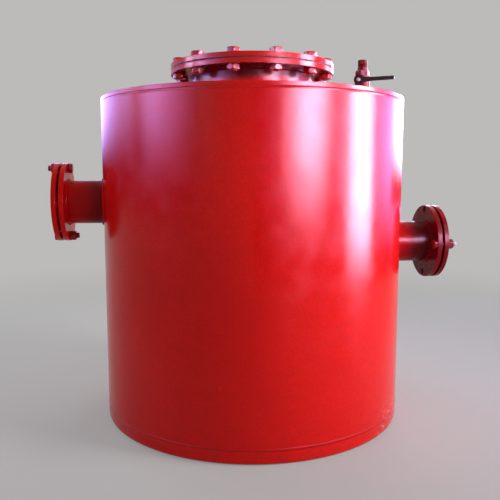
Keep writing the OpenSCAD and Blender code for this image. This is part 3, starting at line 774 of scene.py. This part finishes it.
bead("inlet_shell_weld", saddle_path(INLET, X, PIPE_R, steps_round(PIPE_R), 1.6 * MM),
     "flange_enamel", 6.4 * MM, 4.0 * MM, seed=8)
bead("drain_weld", saddle_path(DRAIN, Y, SOCKET_R, steps_round(SOCKET_R), 0.6 * MM),
     "tank_enamel", 4.6 * MM, 3.4 * MM, seed=9)
bead("level_weld", saddle_path(LEVEL, Y, SOCKET_R, steps_round(SOCKET_R), 0.6 * MM),
     "tank_enamel", 4.6 * MM, 3.4 * MM, seed=10)
bead("riser_weld", ring_path(RISER_FOOT, Z, RISER_R, Z, steps_round(RISER_R), 0.4 * MM),
     "valve_enamel", 3.6 * MM, 2.8 * MM, pitch=3.0 * MM, seed=11)
bead("shell_seam", seam_path(math.radians(62), RIM_TOP + 3 * MM, PLATE_LOW - 3 * MM, 900),
     "tank_enamel", 4.2 * MM, 1.0 * MM, closed=False, seed=12)

bolts("relief_bolt_set", "relief_bolts", Z, 2.5 * MM)
nuts("relief_nut_set", "relief_nuts", Z)
bolts("outlet_bolt_set", "outlet_bolts", -X, 2.0 * MM)
nuts("outlet_nut_set", "outlet_nuts", -X)
bolts("inlet_bolt_set", "inlet_bolts", -X, 2.0 * MM)
nuts("inlet_nut_set", "inlet_nuts", -X)


SPOUT_PITCH = 1.814 * MM
SPOUT_STEPS = 64


def spout():
    """Open pipe above the valve with a cut pipe thread at its mouth."""
    points = solids("valve_spout")[0]
    low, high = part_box("valve_spout")
    centre = Vector((RISER.x, RISER.y, 0))
    radii = sorted({round(away(p, centre, Z).length, 5) for p in points})
    bore, crest, full = radii[0], radii[-2], radii[-1]
    start = min(p.z for p in points if abs(away(p, centre, Z).length - crest) < 2e-5)
    rings = [(low.z, bore, 0), (low.z, full, 0), (start - 0.5 * MM, full, 0)]
    rows = math.ceil(THREAD_ROWS * (high.z - start) / SPOUT_PITCH)
    depth, tip = 0.62 * SPOUT_PITCH, crest - 0.8 * SPOUT_PITCH
    for k in range(rows + 1):
        t = (high.z - start) * k / rows
        rings.append((start + t, thread(high.z - start - t, crest, depth, SPOUT_PITCH, tip), 0))
    rings += [(high.z, bore + 0.6 * MM, 0), (high.z - 0.6 * MM, bore, 0)]
    bm = bmesh.new()
    turned(bm, rings, Matrix.Translation(centre), SPOUT_STEPS, closed=True)
    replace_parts(piece("spout_pipe", bm, ("valve_enamel",)), "valve_spout")


spout()


# Studio

CAMERA = Vector((-0.2142, -1.6721, 0.6444))
CAMERA_TURN = Euler((math.radians(83.0), 0.0, math.radians(-7.11)))
CAMERA_LENS = 43.71
TOWARDS_CAMERA = math.atan2(CAMERA.y, CAMERA.x)


def smooth(tree, value, low, high, to_low=0.0, to_high=1.0):
    made = tree.nodes.new("ShaderNodeMapRange")
    made.interpolation_type = "SMOOTHSTEP"
    tree.links.new(value, made.inputs["Value"])
    for socket, given in zip(list(made.inputs)[1:5], (low, high, to_low, to_high)):
        socket.default_value = given
    return made.outputs[0]


def product(tree, a, b):
    made = tree.nodes.new("ShaderNodeMath")
    made.operation = "MULTIPLY"
    tree.links.new(a, made.inputs[0])
    tree.links.new(b, made.inputs[1])
    return made.outputs[0]


def glow(name, colour, strength, rise, start_fade, end_fade):
    """Light of a softbox. It grows between two heights and fades at the two upright edges."""
    mat = bpy.data.materials.new(name)
    mat.use_nodes = True
    tree = mat.node_tree
    tree.nodes.clear()
    place = tree.nodes.new("ShaderNodeNewGeometry")
    axes = tree.nodes.new("ShaderNodeSeparateXYZ")
    tree.links.new(place.outputs["Position"], axes.inputs[0])
    along = tree.nodes.new("ShaderNodeUVMap")
    share = tree.nodes.new("ShaderNodeSeparateXYZ")
    tree.links.new(along.outputs[0], share.inputs[0])
    level = smooth(tree, axes.outputs["Z"], *rise, 0.0, strength)
    level = product(tree, level, smooth(tree, share.outputs["X"], 0.0, start_fade))
    level = product(tree, level, smooth(tree, share.outputs["X"], 1.0, 1.0 - end_fade))
    light = tree.nodes.new("ShaderNodeEmission")
    light.inputs["Color"].default_value = (*colour, 1.0)
    out = tree.nodes.new("ShaderNodeOutputMaterial")
    tree.links.new(level, light.inputs["Strength"])
    tree.links.new(light.outputs[0], out.inputs["Surface"])
    return mat


def softbox(name, start, end, distance, low, high, rise, colour, strength, fades):
    """Upright curved softbox between two bearings, right of the camera. Only gloss shows it."""
    bm = bmesh.new()
    uv = bm.loops.layers.uv.new("UVMap")
    count, rows = 24, []
    for k in range(count + 1):
        bearing = TOWARDS_CAMERA + math.radians(start + (end - start) * k / count)
        foot = Vector((distance * math.cos(bearing), distance * math.sin(bearing), 0))
        rows.append((k / count, bm.verts.new(foot + Z * low), bm.verts.new(foot + Z * high)))
    for (s, a, b), (t, c, d) in zip(rows, rows[1:]):
        for loop, spot in zip(bm.faces.new((a, c, d, b)).loops, ((s, 0), (t, 0), (t, 1), (s, 1))):
            loop[uv].uv = spot
    mesh = bpy.data.meshes.new(name)
    bm.to_mesh(mesh)
    bm.free()
    mesh.materials.append(glow(name, colour, strength, rise, *fades))
    made = bpy.data.objects.new(name, mesh)
    bpy.context.scene.collection.objects.link(made)
    made.visible_camera = False
    made.visible_diffuse = False
    made.visible_shadow = False


# The softboxes have the violet tinge of the highlights in the photo
WHITE, COOL = (1.0, 0.80, 1.20), (0.42, 0.36, 1.0)
softbox("key_softbox", 16, 57, 2.3, 0.05, 1.24, (0.32, 1.04), WHITE, 88.0, (0.50, 0.42))
softbox("side_softbox", 64, 92, 2.3, 0.01, 1.42, (0.00, 0.56), WHITE, 70.0, (0.25, 0.32))
softbox("rear_softbox", 116, 156, 2.3, 0.45, 1.40, (0.58, 0.90), WHITE, 13.0, (0.05, 0.05))
softbox("right_haze", 0, 160, 2.4, 0.05, 1.20, (0.15, 0.85), COOL, 12.0, (0.30, 0.02))
softbox("left_softbox", -160, -60, 2.3, 0.45, 1.22, (0.68, 1.20), COOL, 12.5, (0.05, 0.22))
softbox("rim_softbox", -104, -58, 2.3, 1.17, 1.40, (1.17, 1.26), WHITE, 32.0, (0.30, 0.30))
softbox("left_edge", -86, -32, 2.25, 0.45, 1.30, (0.62, 1.15), COOL, 32.0, (0.35, 0.65))

# Colour of the surroundings, and their strength as light and as seen
PALE, AMBIENT, BACKDROP = (1.0, 0.99, 0.97, 1.0), 0.42, 0.50


def seen_ray(tree):
    """1 for rays that show the surroundings (camera, gloss, glass) and 0 for rays that light."""
    ray = tree.nodes.new("ShaderNodeLightPath")
    seen = ray.outputs["Is Camera Ray"]
    for other in ("Is Glossy Ray", "Is Transmission Ray"):
        either = tree.nodes.new("ShaderNodeMath")
        either.operation = "MAXIMUM"
        tree.links.new(seen, either.inputs[0])
        tree.links.new(ray.outputs[other], either.inputs[1])
        seen = either.outputs[0]
    return seen


def floor():
    """Plain floor that keeps the object's shadow and passes into the surroundings far away."""
    mat = bpy.data.materials.new("floor")
    mat.use_nodes = True
    tree = mat.node_tree
    bsdf = tree.nodes["Principled BSDF"]
    place = tree.nodes.new("ShaderNodeNewGeometry")
    grain = tree.nodes.new("ShaderNodeTexNoise")
    grain.inputs["Scale"].default_value = 1.4
    tone = tree.nodes.new("ShaderNodeMix")
    tone.data_type = "RGBA"
    tone.inputs[6].default_value = (0.40, 0.40, 0.41, 1)
    tone.inputs[7].default_value = (0.44, 0.44, 0.45, 1)
    tree.links.new(place.outputs["Position"], grain.inputs["Vector"])
    tree.links.new(grain.outputs["Fac"], tone.inputs[0])
    tree.links.new(tone.outputs[2], bsdf.inputs["Base Color"])
    bsdf.inputs["Roughness"].default_value = 0.85
    bsdf.inputs["Specular IOR Level"].default_value = 0.1

    length = tree.nodes.new("ShaderNodeVectorMath")
    length.operation = "LENGTH"
    tree.links.new(place.outputs["Position"], length.inputs[0])
    share = smooth(tree, length.outputs["Value"], 0.5, 3.0, 0.40, 1.0)
    even = tree.nodes.new("ShaderNodeEmission")
    even.inputs["Color"].default_value = PALE
    even.inputs["Strength"].default_value = BACKDROP
    mixed = tree.nodes.new("ShaderNodeMixShader")
    tree.links.new(product(tree, share, seen_ray(tree)), mixed.inputs[0])
    tree.links.new(bsdf.outputs[0], mixed.inputs[1])
    tree.links.new(even.outputs[0], mixed.inputs[2])
    tree.links.new(mixed.outputs[0], tree.nodes["Material Output"].inputs["Surface"])

    bm = bmesh.new()
    bmesh.ops.create_circle(bm, cap_ends=True, segments=96, radius=30.0)
    mesh = bpy.data.meshes.new("floor")
    bm.to_mesh(mesh)
    bm.free()
    mesh.materials.append(mat)
    made = bpy.data.objects.new("floor", mesh)
    made.location.z = cad_box[0].z - 0.5 * MM
    bpy.context.scene.collection.objects.link(made)


floor()


def lamp(name, bearing, distance, height, aim, spread, size, power, colour=(1, 1, 1)):
    """Square area lamp at one bearing right of the camera, aimed at a height on the tank's axis."""
    data = bpy.data.lights.new(name, "AREA")
    data.size = size
    data.spread = math.radians(spread)
    data.energy = power
    data.color = colour
    made = bpy.data.objects.new(name, data)
    turn = TOWARDS_CAMERA + math.radians(bearing)
    made.location = (distance * math.cos(turn), distance * math.sin(turn), height)
    made.rotation_euler = (Z * aim - made.location).to_track_quat("-Z", "Y").to_euler()
    made.visible_glossy = False
    bpy.context.scene.collection.objects.link(made)


lamp("key_lamp", 71, 2.5, 1.35, 0.88, 62, 1.2, 19, (1.0, 0.97, 0.94))
lamp("left_lamp", -38, 2.6, 1.50, 1.00, 50, 1.2, 1.3)
lamp("rear_right_lamp", 160, 2.6, 1.8, 0.5, 90, 1.6, 8)
lamp("rear_left_lamp", -130, 2.6, 1.8, 0.5, 90, 1.6, 7)
lamp("overhead_lamp", 150, 0.6, 3.2, 0.5, 120, 2.4, 6)

world = bpy.data.worlds.new("studio")
world.use_nodes = True
ambient = world.node_tree.nodes["Background"]
ambient.inputs["Color"].default_value = PALE
strength = smooth(world.node_tree, seen_ray(world.node_tree), 0.0, 1.0, AMBIENT, BACKDROP)
world.node_tree.links.new(strength, ambient.inputs["Strength"])
bpy.context.scene.world = world
bpy.context.scene.view_settings.view_transform = "Standard"

camera = bpy.data.objects.new("camera", bpy.data.cameras.new("camera"))
camera.data.lens = CAMERA_LENS
camera.location = CAMERA
camera.rotation_euler = CAMERA_TURN
bpy.context.scene.collection.objects.link(camera)
bpy.context.scene.camera = camera
